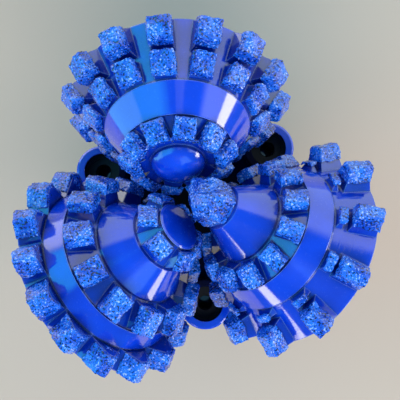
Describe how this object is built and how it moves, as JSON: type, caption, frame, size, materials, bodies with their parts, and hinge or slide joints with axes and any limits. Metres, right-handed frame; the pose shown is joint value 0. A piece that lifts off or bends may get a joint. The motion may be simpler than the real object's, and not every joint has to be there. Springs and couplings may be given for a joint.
{
  "type": "tricone drill bit",
  "caption": "Roller cone rock bit with three intermeshing milled-tooth cones on sealed roller and ball bearings, jet nozzles and a tapered threaded pin.",
  "frame": {"origin": "centre of the threaded pin's end face, on the bit's axis", "axes": "+Z along the bit's axis from the pin towards the cones; +Y towards cone c, with cone b 120 degrees and cone a 240 degrees further round anticlockwise seen from +Z"},
  "size_m": [0.3043, 0.297, 0.4097],
  "materials": {
    "leg_paint": "gloss",
    "cone_paint": "gloss",
    "hardfacing": "rough",
    "bearing_steel": "polished",
    "bronze": "satin",
    "hard_alloy": "satin",
    "plain_steel": "satin",
    "carbide": "matte",
    "rubber": "matte"
  },
  "bodies": {
    "bit_body": {"leg_a": "leg_paint", "ball_plug_a": "plain_steel", "grease_canister_a": "plain_steel", "diaphragm_a": "rubber", "reservoir_cap_a": "leg_paint", "shirttail_hardfacing_a": "hardfacing", "nozzle_boss_a": "leg_paint", "nozzle_a": "carbide", "leg_b": "leg_paint", "ball_plug_b": "plain_steel", "grease_canister_b": "plain_steel", "diaphragm_b": "rubber", "reservoir_cap_b": "leg_paint", "shirttail_hardfacing_b": "hardfacing", "nozzle_boss_b": "leg_paint", "nozzle_b": "carbide", "leg_c": "leg_paint", "ball_plug_c": "plain_steel", "grease_canister_c": "plain_steel", "diaphragm_c": "rubber", "reservoir_cap_c": "leg_paint", "shirttail_hardfacing_c": "hardfacing", "nozzle_boss_c": "leg_paint", "nozzle_c": "carbide", "ball_plug_welds": "leg_paint", "reservoir_snap_rings": "plain_steel", "nozzle_o_rings": "rubber", "nozzle_retaining_rings": "plain_steel", "body_seam_welds": "leg_paint"},
    "roller_cone_a": {"cone_a": "cone_paint", "cone_a_hardfacing": "hardfacing", "nose_bush_a": "bronze", "thrust_button_a": "hard_alloy", "seal_ring_a": "rubber"},
    "roller_set_a": {"bearing_rollers_a": "bearing_steel"},
    "ball_set_a": {"bearing_balls_a": "bearing_steel"},
    "roller_cone_b": {"cone_b": "cone_paint", "cone_b_hardfacing": "hardfacing", "nose_bush_b": "bronze", "thrust_button_b": "hard_alloy", "seal_ring_b": "rubber"},
    "roller_set_b": {"bearing_rollers_b": "bearing_steel"},
    "ball_set_b": {"bearing_balls_b": "bearing_steel"},
    "roller_cone_c": {"cone_c": "cone_paint", "cone_c_hardfacing": "hardfacing", "nose_bush_c": "bronze", "thrust_button_c": "hard_alloy", "seal_ring_c": "rubber"},
    "roller_set_c": {"bearing_rollers_c": "bearing_steel"},
    "ball_set_c": {"bearing_balls_c": "bearing_steel"}
  },
  "joints": [
    {"name": "cone_a_spin", "type": "hinge", "parent": "bit_body", "child": "roller_cone_a", "pos_m": [0.00485, 0.0084, 0.389], "axis": [0.7163, -0.4135, -0.5621], "continuous": true},
    {"name": "rollers_a_orbit", "type": "hinge", "parent": "bit_body", "child": "roller_set_a", "pos_m": [0.00485, 0.0084, 0.389], "axis": [0.7163, -0.4135, -0.5621], "continuous": true},
    {"name": "balls_a_orbit", "type": "hinge", "parent": "bit_body", "child": "ball_set_a", "pos_m": [0.00485, 0.0084, 0.389], "axis": [0.7163, -0.4135, -0.5621], "continuous": true},
    {"name": "cone_b_spin", "type": "hinge", "parent": "bit_body", "child": "roller_cone_b", "pos_m": [0.00485, -0.0084, 0.389], "axis": [-0.7163, -0.4135, -0.5621], "continuous": true},
    {"name": "rollers_b_orbit", "type": "hinge", "parent": "bit_body", "child": "roller_set_b", "pos_m": [0.00485, -0.0084, 0.389], "axis": [-0.7163, -0.4135, -0.5621], "continuous": true},
    {"name": "balls_b_orbit", "type": "hinge", "parent": "bit_body", "child": "ball_set_b", "pos_m": [0.00485, -0.0084, 0.389], "axis": [-0.7163, -0.4135, -0.5621], "continuous": true},
    {"name": "cone_c_spin", "type": "hinge", "parent": "bit_body", "child": "roller_cone_c", "pos_m": [-0.0097, 0, 0.389], "axis": [0, 0.8271, -0.5621], "continuous": true},
    {"name": "rollers_c_orbit", "type": "hinge", "parent": "bit_body", "child": "roller_set_c", "pos_m": [-0.0097, 0, 0.389], "axis": [0, 0.8271, -0.5621], "continuous": true},
    {"name": "balls_c_orbit", "type": "hinge", "parent": "bit_body", "child": "ball_set_c", "pos_m": [-0.0097, 0, 0.389], "axis": [0, 0.8271, -0.5621], "continuous": true}
  ],
  "couplings": [
    {"joint": "rollers_a_orbit", "follows": "cone_a_spin", "ratio": 0.5878},
    {"joint": "balls_a_orbit", "follows": "cone_a_spin", "ratio": 0.6058},
    {"joint": "rollers_b_orbit", "follows": "cone_b_spin", "ratio": 0.5878},
    {"joint": "balls_b_orbit", "follows": "cone_b_spin", "ratio": 0.6058},
    {"joint": "rollers_c_orbit", "follows": "cone_c_spin", "ratio": 0.5878},
    {"joint": "balls_c_orbit", "follows": "cone_c_spin", "ratio": 0.6058}
  ]
}
